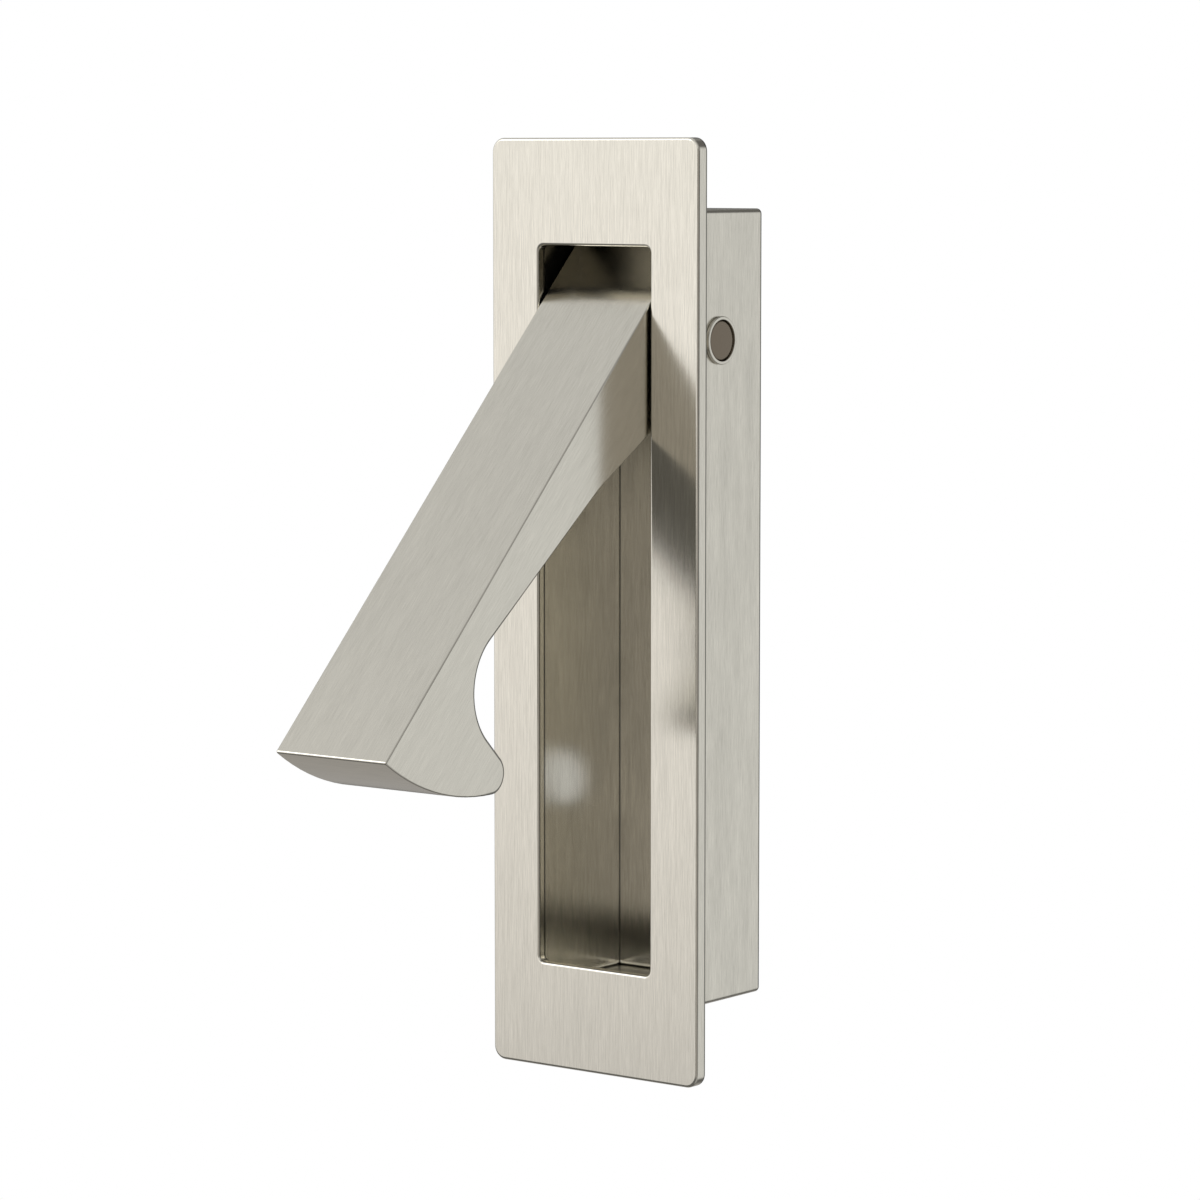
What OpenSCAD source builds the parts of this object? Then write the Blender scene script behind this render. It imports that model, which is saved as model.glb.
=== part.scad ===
// Edge pull for a sliding door that runs into its wall.
// A faceplate lies on the door's edge with a housing behind it, let into the wood.
// A lever turns on a pin through the housing: its head is pushed in and its foot swings out,
// and a finger hooks behind the foot to draw the door out of the wall.
// X is to the right, Y runs into the door and Z is up.
// The origin is the middle of the faceplate's back, on the face of the door's edge.

/* [Faceplate] */
// Height of the faceplate
plate_height = 102; // [96:1:130]
// Width of the faceplate
plate_width = 28; // [25:0.5:40]
// Thickness of the faceplate
plate_thickness = 1.5; // [1.3:0.1:2.5]
// Radius of the faceplate's four corners
plate_corner = 1.5; // [0.6:0.1:4]
// Radius of the eased front edges, round the faceplate and round its slot
edge_ease = 0.3; // [0.1:0.05:0.3]

/* [Slot] */
// Height of the slot that the lever swings through
slot_height = 78.8; // [74:0.2:82]
// Width of the slot
slot_width = 15.2; // [13:0.1:17]
// Radius of the slot's corners
slot_corner = 0.7; // [0.3:0.1:1.5]
// Radius of the eased edge round the slot at the faceplate's back
slot_back_ease = 0.5; // [0.2:0.05:0.5]

/* [Housing] */
// Depth of the housing behind the faceplate
housing_depth = 15.8; // [14.8:0.1:18]
// Thickness of the housing's side and end walls
housing_wall = 1.2; // [0.8:0.1:1.6]
// Thickness of the housing's back wall
back_wall = 1; // [0.8:0.1:1.6]
// How far the housing's inside stands back behind each long edge of the slot
side_step = 1.2; // [0.9:0.1:1.6]
// How far the housing's inside stands back behind each end of the slot
end_step = 2.75; // [2:0.05:3.5]
// Radius of the housing's outer corners
housing_corner = 0.6; // [0.4:0.1:1.2]
// Radius of the corners inside the housing
cavity_corner = 0.2; // [0.2:0.1:1]
// Radius of the housing's outside edges round its back
housing_ease = 0.3; // [0.1:0.05:0.3]
// Radius of the housing's inside edges round its back
cavity_ease = 0.15; // [0.1:0.05:0.2]
// Diameter of the fixing hole through the back wall
fixing_hole = 6.6; // [4:0.1:8]
// How far the fixing hole lies below the faceplate's middle
fixing_drop = 21.5; // [18:0.5:30]

/* [Pivot] */
// How far the pin lies below the slot's upper end
pivot_drop = 10.2; // [9:0.1:12]
// How far the pin lies behind the faceplate
pivot_depth = 7.9; // [7.2:0.1:8.2]
// Diameter of the pin
pin_diameter = 4.5; // [3.5:0.1:5]
// How far the pin's ends lie inside the mouths of its bushes
pin_recess = 0.55; // [0.3:0.05:0.8]
// Bevel on the pin's ends
pin_bevel = 0.2; // [0.1:0.05:0.3]
// Wall of the bush that holds each end of the pin
bush_wall = 0.25; // [0.2:0.05:0.5]
// How far each bush stands out of the housing's side
bush_stand = 0.4; // [0.2:0.1:0.8]
// Diameter of the flange that seats each bush on the inside of its wall
flange_diameter = 8; // [7:0.1:9]
// Thickness of the disc spring's metal
spring_metal = 0.25; // [0.15:0.05:0.3]
// Height of the disc spring from its inner edge to its outer one
spring_height = 0.45; // [0.4:0.05:0.5]
// Thickness of the thrust washer
washer_thickness = 0.25; // [0.15:0.05:0.3]
// Running clearance of the lever's bore round the pin
running_clearance = 0.05; // [0.02:0.01:0.1]
// Clearance between the lever and the washer on each side
side_play = 0.05; // [0.03:0.01:0.1]

/* [Lever] */
// Angle to which the lever stands open
open_angle = 44.5; // [35:0.5:50]
// Clearance between the lever and each long edge of the slot
lever_side_gap = 0.25; // [0.15:0.05:0.5]
// Gap between the lever's foot and the slot's lower end, closed
foot_gap = 2.4; // [1:0.1:4]
// Clearance between the lever's head and what it swings past
head_gap = 0.4; // [0.2:0.1:0.8]
// Clearance left where the lever comes to rest on the housing's back wall
rest_gap = 0.05; // [0.02:0.01:0.15]
// Radius of the boss round the pin
boss_radius = 3.65; // [3.3:0.05:3.9]
// How far the knee in the lever's back lies below the pin
knee_drop = 23.3; // [18:0.1:28]
// Thickness of the lever at its knee
knee_thickness = 7.3; // [6:0.1:8]
// Thickness of the lever at the finger hollow
neck_thickness = 4.25; // [3.5:0.05:5]
// Radius of the finger hollow
hollow_radius = 6.9; // [6:0.1:7.5]
// Radius of the nose that the finger hooks behind
nose_radius = 2.1; // [1.6:0.1:2.5]
// How far the middle of the nose lies above the lever's foot
nose_rise = 9.8; // [8.5:0.1:11]
// Radius of the curve under the foot, from its front edge to the nose
foot_radius = 27.9; // [22:0.1:40]
// Radius of the eased long edges of the lever's front
lever_ease = 0.2; // [0.1:0.05:0.3]

/* [Hidden] */
$fn = 128;
// How far every cut runs past the face that it leaves through
overrun = 1;
satin_nickel = [0.8, 0.77, 0.71];
spring_steel = [0.55, 0.54, 0.52];
polymer = [0.22, 0.21, 0.2];

cavity_width = slot_width + 2 * side_step;
cavity_height = slot_height + 2 * end_step;
cavity_depth = housing_depth - back_wall;
housing_width = cavity_width + 2 * housing_wall;
housing_height = cavity_height + 2 * housing_wall;

pivot_rise = slot_height / 2 - pivot_drop;
pin_radius = pin_diameter / 2;
bush_radius = pin_radius + bush_wall;
bush_face = housing_width / 2 + bush_stand;
lever_width = slot_width - 2 * lever_side_gap;
bore_radius = pin_radius + running_clearance;
flange_thickness = side_step + lever_side_gap - spring_height - washer_thickness - side_play;
flange_seat = cavity_width / 2 - flange_thickness;

// Distances from the pin's axis, with the lever closed
lever_front = pivot_depth + plate_thickness;
lever_foot = slot_height - pivot_drop - foot_gap;
back_reach = cavity_depth - pivot_depth - rest_gap;
head_radius = min(
    norm([pivot_depth, pivot_drop]),
    pivot_drop + end_step
) - head_gap;

// Places on the closed lever's outline, as [into the door, up] from the pin's axis
front_foot = [-lever_front, -lever_foot];
knee = [knee_thickness - lever_front, -knee_drop];
nose = [back_reach - nose_radius, nose_rise - lever_foot];
hollow = [neck_thickness + hollow_radius - lever_front, nose.y + nose_radius + hollow_radius];
foot_centre = circles_meet(front_foot, foot_radius, nose, foot_radius - nose_radius);
nose_way = (nose - foot_centre) / norm(nose - foot_centre);

// Where two circles cross: of the two places, the one on the left hand from the first to the second
function circles_meet(first, first_radius, second, second_radius) =
    let (
        apart = norm(second - first),
        way = (second - first) / apart,
        along = (apart ^ 2 + first_radius ^ 2 - second_radius ^ 2) / (2 * apart),
        aside = sqrt(first_radius ^ 2 - along ^ 2)
    )
    first + along * way + aside * [-way.y, way.x];

// Where a line from a point touches a circle: on the left hand, seen from the circle's centre
function touch_point(point, centre, radius) =
    let (
        apart = norm(point - centre),
        way = (point - centre) / apart,
        along = radius ^ 2 / apart,
        aside = sqrt(radius ^ 2 - along ^ 2)
    )
    centre + along * way + aside * [-way.y, way.x];

// A rectangle with round corners, filled from bottom to top, its rim shaped by the child's profile.
// The profile is drawn outwards from the middle of a corner, with the thickness upwards.
module rimmed_slab(width, height, corner, bottom, top) {
    inner_width = width - 2 * corner;
    inner_height = height - 2 * corner;
    translate([-inner_width / 2, -inner_height / 2, bottom])
        cube([inner_width, inner_height, top - bottom]);
    for (side = [0, 1]) {
        mirror([side, 0, 0])
            translate([inner_width / 2, inner_height / 2, 0])
                rotate([90, 0, 0])
                    linear_extrude(inner_height)
                        children();
        mirror([0, side, 0])
            translate([-inner_width / 2, inner_height / 2, 0])
                rotate([90, 0, 90])
                    linear_extrude(inner_width)
                        children();
    }
    for (across = [0, 1], up = [0, 1])
        mirror([across, 0, 0])
            mirror([0, up, 0])
                translate([inner_width / 2, inner_height / 2, 0])
                    rotate_extrude(angle = 90)
                        children();
}

// Rim whose upper edge is eased to a quarter round
module eased_rim(corner, bottom, top, ease) {
    difference() {
        translate([0, bottom])
            square([corner, top - bottom]);
        translate([corner - ease, top - ease])
            difference() {
                square(ease + overrun);
                circle(ease);
            }
    }
}

// Rim of a cut through a plate, flared so that the edges that it leaves at both faces are quarter rounds
module flared_rim(corner, thickness, back_ease, front_ease) {
    difference() {
        union() {
            translate([0, -overrun])
                square([corner, thickness + 2 * overrun]);
            translate([0, -overrun])
                square([corner + back_ease, back_ease + overrun]);
            translate([0, thickness - front_ease])
                square([corner + front_ease, front_ease + overrun]);
        }
        translate([corner + back_ease, back_ease])
            circle(back_ease);
        translate([corner + front_ease, thickness - front_ease])
            circle(front_ease);
    }
}

module faceplate() {
    color(satin_nickel)
        rotate([90, 0, 0])
            difference() {
                rimmed_slab(plate_width, plate_height, plate_corner, 0, plate_thickness)
                    eased_rim(plate_corner, 0, plate_thickness, edge_ease);
                rimmed_slab(slot_width, slot_height, slot_corner, -overrun, plate_thickness + overrun)
                    flared_rim(slot_corner, plate_thickness, slot_back_ease, edge_ease);
            }
}

// A box that is open at the faceplate and wider inside than the slot
module housing() {
    color(satin_nickel)
        difference() {
            rotate([-90, 0, 0])
                difference() {
                    rimmed_slab(housing_width, housing_height, housing_corner, 0, housing_depth)
                        eased_rim(housing_corner, 0, housing_depth, housing_ease);
                    rimmed_slab(cavity_width, cavity_height, cavity_corner, -overrun, cavity_depth)
                        eased_rim(cavity_corner, -overrun, cavity_depth, cavity_ease);
                }
            translate([0, cavity_depth - overrun, -fixing_drop])
                rotate([-90, 0, 0])
                    cylinder(r = fixing_hole / 2, h = back_wall + 2 * overrun);
            on_pivot()
                translate([0, 0, -housing_width / 2 - overrun])
                    cylinder(r = bush_radius, h = housing_width + 2 * overrun);
        }
}

// Stands its child on the pin's axis, turned so that its height runs to the right
module on_pivot() {
    translate([0, pivot_depth, pivot_rise])
        rotate([0, 90, 0])
            children();
}

module lever() {
    color(satin_nickel)
        difference() {
            translate([-lever_width / 2, pivot_depth, pivot_rise])
                rotate([-open_angle, 0, 0])
                    difference() {
                        rotate([90, 0, 90])
                            lever_blank();
                        for (edge = [0, lever_width])
                            translate([edge, -lever_front, 0])
                                mirror([edge == 0 ? 0 : 1, 0, 0])
                                    front_edge_cut();
                    }
            on_pivot()
                translate([0, 0, -lever_width / 2 - overrun])
                    cylinder(r = bore_radius, h = lever_width + 2 * overrun);
        }
}

// What is taken off one long edge of the lever's front
module front_edge_cut() {
    translate([0, 0, -lever_foot - overrun])
        linear_extrude(lever_foot + head_radius + 2 * overrun)
            difference() {
                translate([-overrun, -overrun])
                    square(lever_ease + overrun);
                translate([lever_ease, lever_ease])
                    circle(lever_ease);
            }
}

// The closed lever lying on its side: into the door is to the right, and the pin's axis is the origin
module lever_blank() {
    cylinder(r = boss_radius, h = lever_width);
    linear_extrude(lever_width)
        head_outline();
    linear_extrude(lever_width)
        arm_outline();
    translate(nose)
        cylinder(r = nose_radius, h = lever_width);
}

// The head swings past the slot's upper end, and its back lies flat on the back wall when open
module head_outline() {
    difference() {
        intersection() {
            circle(head_radius);
            translate([-lever_front, 0])
                square([lever_front + boss_radius, head_radius]);
        }
        rotate(open_angle)
            translate([back_reach, -head_radius])
                square([head_radius, 2 * head_radius]);
    }
}

// The arm thins from the boss to the knee and on to the hollow for the finger, and ends in a claw:
// one long curve runs under the foot and up to the round nose that the finger hooks behind
module arm_outline() {
    difference() {
        polygon([
            [-lever_front, boss_radius],
            [0, boss_radius],
            touch_point(knee, [0, 0], boss_radius),
            knee,
            touch_point(knee, hollow, hollow_radius),
            hollow,
            [hollow.x, nose.y + nose_radius],
            [nose.x, nose.y + nose_radius],
            nose,
            nose + foot_radius * nose_way,
            [-lever_front, nose.y - foot_radius]
        ]);
        translate(hollow)
            circle(hollow_radius);
        difference() {
            translate([-foot_radius, hollow.y - 2 * foot_radius])
                square(2 * foot_radius);
            translate(foot_centre)
                circle(foot_radius);
        }
    }
}

module pivot_pin() {
    length = 2 * (bush_face - pin_recess);
    color(satin_nickel)
        on_pivot()
            translate([0, 0, -length / 2])
                rotate_extrude()
                    polygon([
                        [0, 0],
                        [pin_radius - pin_bevel, 0],
                        [pin_radius, pin_bevel],
                        [pin_radius, length - pin_bevel],
                        [pin_radius - pin_bevel, length],
                        [0, length]
                    ]);
}

// A thin sleeve through the housing's wall, pushed out from the inside until its flange seats
module bush() {
    color(satin_nickel)
        on_pivot()
            difference() {
                union() {
                    translate([0, 0, flange_seat])
                        cylinder(r = flange_diameter / 2, h = flange_thickness);
                    translate([0, 0, flange_seat])
                        cylinder(r = bush_radius, h = bush_face - flange_seat);
                }
                translate([0, 0, flange_seat - overrun])
                    cylinder(r = pin_radius, h = bush_face - flange_seat + 2 * overrun);
            }
}

// A shallow cone between the flange and the thrust washer, which makes the lever stay where it is put
module disc_spring() {
    rise = spring_height - spring_metal;
    color(spring_steel)
        on_pivot()
            translate([0, 0, flange_seat])
                rotate_extrude()
                    polygon([
                        [bore_radius, 0],
                        [flange_diameter / 2, -rise],
                        [flange_diameter / 2, -rise - spring_metal],
                        [bore_radius, -spring_metal]
                    ]);
}

module thrust_washer() {
    color(polymer)
        on_pivot()
            translate([0, 0, lever_width / 2 + side_play])
                difference() {
                    cylinder(r = flange_diameter / 2, h = washer_thickness);
                    translate([0, 0, -overrun])
                        cylinder(r = bore_radius, h = washer_thickness + 2 * overrun);
                }
}

module bush_right() {
    bush();
}

module bush_left() {
    mirror([1, 0, 0])
        bush();
}

module disc_spring_right() {
    disc_spring();
}

module disc_spring_left() {
    mirror([1, 0, 0])
        disc_spring();
}

module thrust_washer_right() {
    thrust_washer();
}

module thrust_washer_left() {
    mirror([1, 0, 0])
        thrust_washer();
}

faceplate();
housing();
lever();
pivot_pin();
bush_left();
bush_right();
disc_spring_left();
disc_spring_right();
thrust_washer_left();
thrust_washer_right();
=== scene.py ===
import math

import bpy
import numpy as np
from mathutils.geometry import tessellate_polygon
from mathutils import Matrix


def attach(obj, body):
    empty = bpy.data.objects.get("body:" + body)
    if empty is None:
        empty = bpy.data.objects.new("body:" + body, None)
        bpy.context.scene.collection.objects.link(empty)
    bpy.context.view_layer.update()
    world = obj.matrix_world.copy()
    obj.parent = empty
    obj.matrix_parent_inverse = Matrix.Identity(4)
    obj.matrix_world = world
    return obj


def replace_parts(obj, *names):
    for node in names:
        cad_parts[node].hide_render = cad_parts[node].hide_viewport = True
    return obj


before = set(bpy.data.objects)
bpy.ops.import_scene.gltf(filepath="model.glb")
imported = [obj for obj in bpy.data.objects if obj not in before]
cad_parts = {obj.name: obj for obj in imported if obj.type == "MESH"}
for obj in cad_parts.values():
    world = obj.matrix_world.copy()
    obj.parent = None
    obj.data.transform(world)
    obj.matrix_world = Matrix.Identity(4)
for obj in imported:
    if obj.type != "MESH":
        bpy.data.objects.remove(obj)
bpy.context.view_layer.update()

MM = 0.001


# Faceplate
# A plate of brass, blanked with its slot, ground with a belt from end to end and nickel plated, so that fine lines
# run up and down it. The housing is brazed to its back, and the plate is let in flush with the door's edge.

SATIN_NICKEL = (0.70, 0.675, 0.60)
# What is left of the metal's colour under the painted shade along edges and in corners
SHADE_SHARE = 0.25
# Half the width and half the height of the space that holds the slot's walls and their eased edges
SLOT_SPACE = (8.2 * MM, 40.1 * MM)
# How far the painted shade along the back edge reaches forward from the plate's back, and half the width of its soft
# border
SHADE_REACH_OUTSIDE = 0.18 * MM
SHADE_REACH_IN_SLOT = 0.6 * MM
SHADE_BORDER = 0.03 * MM
# A face looks up or down where its normal's upward part is larger than the first, and backwards where its part into
# the door is larger than the second
LOOKS_UPRIGHT = 0.75
LOOKS_BACK = 0.9


def tree_of(holder):
    """The empty node tree of a material or a world."""
    holder.use_nodes = True
    holder.node_tree.nodes.clear()
    return holder.node_tree


def put(tree, kind, settings=None, **sockets):
    """Adds a node. Settings are its own choices. Each socket is given a value, or another node's output to read. A
    name such as _6 is the socket's number, for nodes whose sockets share a name."""
    made = tree.nodes.new(kind)
    for name, value in (settings or {}).items():
        setattr(made, name, value)
    for name, value in sockets.items():
        socket = made.inputs[int(name[1:])] if name[0] == "_" else made.inputs[name.replace("_", " ")]
        if isinstance(value, bpy.types.NodeSocket):
            tree.links.new(value, socket)
        else:
            socket.default_value = value
    return made


def new_group(name, takes, gives):
    """A shader node group with named sockets, and its own input and output nodes."""
    group = bpy.data.node_groups.new(name, "ShaderNodeTree")
    for direction, sockets in (("INPUT", takes), ("OUTPUT", gives)):
        for label, kind in sockets.items():
            group.interface.new_socket(label, in_out=direction, socket_type="NodeSocket" + kind)
    return group, group.nodes.new("NodeGroupInput").outputs, group.nodes.new("NodeGroupOutput").inputs


def make_belt_lines():
    """Lines left by a grinding belt, running along the vector's Z: two noises, each squeezed across the lines and
    drawn out along them, and a soft cloud of pressure differences. Across and Along are the fine lines' counts in a
    metre, and Broad is the share of the broad lines."""
    group, taken, given = new_group(
        "belt lines",
        {"Vector": "Vector", "Across": "Float", "Along": "Float", "Broad": "Float"},
        {"Lines": "Float", "Cloud": "Float"},
    )
    squeeze = put(group, "ShaderNodeCombineXYZ", X=taken["Across"], Y=taken["Across"], Z=taken["Along"])
    fine_place = put(group, "ShaderNodeVectorMath", {"operation": "MULTIPLY"}, _0=taken["Vector"],
                     _1=squeeze.outputs[0])
    fine = put(group, "ShaderNodeTexNoise", Vector=fine_place.outputs[0], Scale=1.0, Detail=3.0, Roughness=0.75)
    broad_place = put(group, "ShaderNodeVectorMath", {"operation": "MULTIPLY"}, _0=fine_place.outputs[0],
                      _1=(0.09, 0.09, 0.25))
    broad = put(group, "ShaderNodeTexNoise", Vector=broad_place.outputs[0], Scale=1.0, Detail=2.0, Roughness=0.6)
    lines = put(group, "ShaderNodeMix", Factor=taken["Broad"], A=fine.outputs[0], B=broad.outputs[0])
    cloud = put(group, "ShaderNodeTexNoise", Vector=taken["Vector"], Scale=90.0, Detail=2.0, Roughness=0.5)
    group.links.new(lines.outputs[0], given["Lines"])
    group.links.new(cloud.outputs[0], given["Cloud"])
    return group


def make_belt_way():
    """Turns the lines on faces that look up or down: there the belt ran from side to side, so X and Z change places."""
    group, taken, given = new_group(
        "belt way", {"Vector": "Vector", "Normal": "Vector"}, {"Vector": "Vector"}
    )
    place = put(group, "ShaderNodeSeparateXYZ", Vector=taken["Vector"])
    crossed = put(group, "ShaderNodeCombineXYZ", X=place.outputs[2], Y=place.outputs[1], Z=place.outputs[0])
    looks = put(group, "ShaderNodeSeparateXYZ", Vector=taken["Normal"])
    upward = put(group, "ShaderNodeMath", {"operation": "ABSOLUTE"}, _0=looks.outputs[2])
    flat = put(group, "ShaderNodeMath", {"operation": "GREATER_THAN"}, _0=upward.outputs[0], _1=LOOKS_UPRIGHT)
    chosen = put(group, "ShaderNodeMix", {"data_type": "VECTOR"}, _0=flat.outputs[0], _4=taken["Vector"],
                 _5=crossed.outputs[0])
    group.links.new(chosen.outputs[1], given["Vector"])
    return group


def make_back_edge_shade():
    """Painted shade along the plate's back edges, where they meet the housing: 1 next to the plate's back, further
    forward on the slot's walls than on the outer ones, but 0 on the back itself."""
    group, taken, given = new_group("back edge", {"Vector": "Vector", "Normal": "Vector"}, {"Mask": "Float"})
    place = put(group, "ShaderNodeSeparateXYZ", Vector=taken["Vector"])
    aside = put(group, "ShaderNodeMath", {"operation": "ABSOLUTE"}, _0=place.outputs[0])
    upward = put(group, "ShaderNodeMath", {"operation": "ABSOLUTE"}, _0=place.outputs[2])
    narrow = put(group, "ShaderNodeMath", {"operation": "LESS_THAN"}, _0=aside.outputs[0], _1=SLOT_SPACE[0])
    short = put(group, "ShaderNodeMath", {"operation": "LESS_THAN"}, _0=upward.outputs[0], _1=SLOT_SPACE[1])
    slot = put(group, "ShaderNodeMath", {"operation": "MULTIPLY"}, _0=narrow.outputs[0], _1=short.outputs[0])
    reach = put(group, "ShaderNodeMix", Factor=slot.outputs[0], A=SHADE_REACH_OUTSIDE, B=SHADE_REACH_IN_SLOT)
    depth = put(group, "ShaderNodeMath", {"operation": "ADD"}, _0=place.outputs[1], _1=reach.outputs[0])
    edge = put(group, "ShaderNodeMapRange", _0=depth.outputs[0], _1=-SHADE_BORDER, _2=SHADE_BORDER)
    looks = put(group, "ShaderNodeSeparateXYZ", Vector=taken["Normal"])
    wall = put(group, "ShaderNodeMath", {"operation": "LESS_THAN"}, _0=looks.outputs[1], _1=LOOKS_BACK)
    mask = put(group, "ShaderNodeMath", {"operation": "MULTIPLY"}, _0=edge.outputs[0], _1=wall.outputs[0])
    group.links.new(mask.outputs[0], given["Mask"])
    return group


belt_lines = make_belt_lines()
belt_way = make_belt_way()


def ground_metal(name, colour, across=13000.0, along=330.0, broad=0.12, contrast=0.16, depth=1.6e-6,
                 polish=(0.15, 0.2), stretch=0.45, uv=None, shade_mask=None, rounded=None):
    """Ground metal: the belt's lines lighten and darken the colour, roughen the surface and stand up from it.
    Lines run along Z, or along the V of the named UV map. Polish is the least and the most roughness. The group given
    for painted shade puts out a mask that is 1 where painted shade darkens the colour. Rounded is a group that leans
    the normal over at inner edges."""
    material = bpy.data.materials.new(name)
    tree = tree_of(material)
    place = put(tree, "ShaderNodeTexCoord")
    if uv:
        mapped = put(tree, "ShaderNodeUVMap", {"uv_map": uv})
        parts = put(tree, "ShaderNodeSeparateXYZ", Vector=mapped.outputs[0])
        way = put(tree, "ShaderNodeCombineXYZ", X=parts.outputs[0], Z=parts.outputs[1])
    else:
        way = put(tree, "ShaderNodeGroup", {"node_tree": belt_way}, Vector=place.outputs["Object"],
                  Normal=place.outputs["Normal"])
    lines = put(tree, "ShaderNodeGroup", {"node_tree": belt_lines}, Vector=way.outputs[0], Across=across, Along=along,
                Broad=broad)
    dark = tuple(c * (1 - contrast) for c in colour) + (1.0,)
    light = tuple(min(1.0, c * (1 + contrast)) for c in colour) + (1.0,)
    spread = put(tree, "ShaderNodeMapRange", {"clamp": True}, _0=lines.outputs["Lines"], _1=0.3, _2=0.7)
    tone = put(tree, "ShaderNodeMix", {"data_type": "RGBA"}, _0=spread.outputs[0], _6=dark, _7=light)
    # Painted shade: where the mask is 1 the colour falls to a share of itself
    if shade_mask:
        mask = put(tree, "ShaderNodeGroup", {"node_tree": shade_mask}, Vector=place.outputs["Object"],
                   Normal=place.outputs["Normal"])
        shaded = tuple(SHADE_SHARE * c for c in colour) + (1.0,)
        tone = put(tree, "ShaderNodeMix", {"data_type": "RGBA"}, _0=mask.outputs[0], _6=tone.outputs[2], _7=shaded)
    worn = put(tree, "ShaderNodeMath", {"operation": "MULTIPLY_ADD"}, _0=spread.outputs[0], _1=0.4,
               _2=lines.outputs["Cloud"])
    rough = put(tree, "ShaderNodeMapRange", {"clamp": True}, _0=worn.outputs[0], _1=0.3, _2=1.1, _3=polish[0],
                _4=polish[1])
    bump = put(tree, "ShaderNodeBump", Strength=1.0, Distance=depth, Height=lines.outputs["Lines"])
    if rounded:
        bump = put(tree, "ShaderNodeGroup", {"node_tree": rounded}, Vector=place.outputs["Object"],
                   Normal=bump.outputs[0])
    metal = put(tree, "ShaderNodeBsdfPrincipled", Base_Color=tone.outputs[2], Metallic=1.0,
                Roughness=rough.outputs[0], Anisotropic=stretch, Normal=bump.outputs[0])
    if uv:
        grain = put(tree, "ShaderNodeTangent", {"direction_type": "UV_MAP", "uv_map": uv})
        tree.links.new(grain.outputs[0], metal.inputs["Tangent"])
    out = put(tree, "ShaderNodeOutputMaterial")
    tree.links.new(metal.outputs[0], out.inputs["Surface"])
    return material


def dress(node, material):
    """Gives a CAD node its finish."""
    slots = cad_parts[node].material_slots
    for each in slots:
        each.material = material
    if not len(slots):
        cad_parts[node].data.materials.append(material)


# The plate's finish carries painted shade along its back edges
dress("faceplate", ground_metal("satin nickel plate", SATIN_NICKEL, shade_mask=make_back_edge_shade()))


# Housing
# A box of the same metal, open at the front and brazed to the faceplate's back. Its sides were ground up and down
# before the fixing hole and the two bush holes were drilled. It sits in a pocket cut in the door's edge.

# The upright corner at the back of the box's inside, and the distances from it over which the painted dark line of
# shade in the corner fades
INSIDE_CORNER = (8.8 * MM, 14.8 * MM, 0.0)
CORNER_FADE = (0.08 * MM, 0.16 * MM)
# Just past the inside's side, back and end walls
INSIDE_SPACE = (9.0 * MM, 15.0 * MM, 42.3 * MM)
# Depths over which painted shade darkens the outer walls towards the box's back
RIM_START = (15.38 * MM, 15.44 * MM)
# How strongly painted shade darkens the inside's ends, and the height times upward normal below which a face belongs to
# them
END_SHADE = 0.75
END_MARK = -24.0 * MM
# Heights over which the walls round over into the lower end, and how far the normal leans up at the lowest
FOOT_LOW = -42.15 * MM
FOOT_HIGH = -41.6 * MM
FOOT_LEAN = 0.75


def make_box_shade():
    """Painted shade on the box: deep in the upright corners at the back of its inside, on the outer walls next to its
    back, and partly on both ends of its inside, which face the middle, so that their height times the normal's upward
    part is far below nothing."""
    group, taken, given = new_group("box shade", {"Vector": "Vector", "Normal": "Vector"}, {"Mask": "Float"})
    place = put(group, "ShaderNodeSeparateXYZ", Vector=taken["Vector"])
    aside = put(group, "ShaderNodeMath", {"operation": "ABSOLUTE"}, _0=place.outputs[0])
    flat = put(group, "ShaderNodeCombineXYZ", X=aside.outputs[0], Y=place.outputs[1])
    away = put(group, "ShaderNodeVectorMath", {"operation": "DISTANCE"}, _0=flat.outputs[0], _1=INSIDE_CORNER)
    near = put(group, "ShaderNodeMapRange", _0=away.outputs["Value"], _1=CORNER_FADE[0], _2=CORNER_FADE[1], _3=1.0,
               _4=0.0)
    upward = put(group, "ShaderNodeMath", {"operation": "ABSOLUTE"}, _0=place.outputs[2])
    between = put(group, "ShaderNodeMath", {"operation": "LESS_THAN"}, _0=upward.outputs[0], _1=INSIDE_SPACE[2])
    corner = put(group, "ShaderNodeMath", {"operation": "MULTIPLY"}, _0=near.outputs[0], _1=between.outputs[0])
    looks = put(group, "ShaderNodeSeparateXYZ", Vector=taken["Normal"])
    wall = put(group, "ShaderNodeMath", {"operation": "LESS_THAN"}, _0=looks.outputs[1], _1=LOOKS_BACK)
    deep = put(group, "ShaderNodeMapRange", _0=place.outputs[1], _1=RIM_START[0], _2=RIM_START[1])
    rim = put(group, "ShaderNodeMath", {"operation": "MULTIPLY"}, _0=wall.outputs[0], _1=deep.outputs[0])
    inward = put(group, "ShaderNodeMath", {"operation": "MULTIPLY"}, _0=place.outputs[2], _1=looks.outputs[2])
    end = put(group, "ShaderNodeMath", {"operation": "LESS_THAN"}, _0=inward.outputs[0], _1=END_MARK)
    partly = put(group, "ShaderNodeMath", {"operation": "MULTIPLY"}, _0=end.outputs[0], _1=END_SHADE)
    one = put(group, "ShaderNodeMath", {"operation": "MAXIMUM"}, _0=corner.outputs[0], _1=rim.outputs[0])
    mask = put(group, "ShaderNodeMath", {"operation": "MAXIMUM"}, _0=one.outputs[0], _1=partly.outputs[0])
    group.links.new(mask.outputs[0], given["Mask"])
    return group


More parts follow.
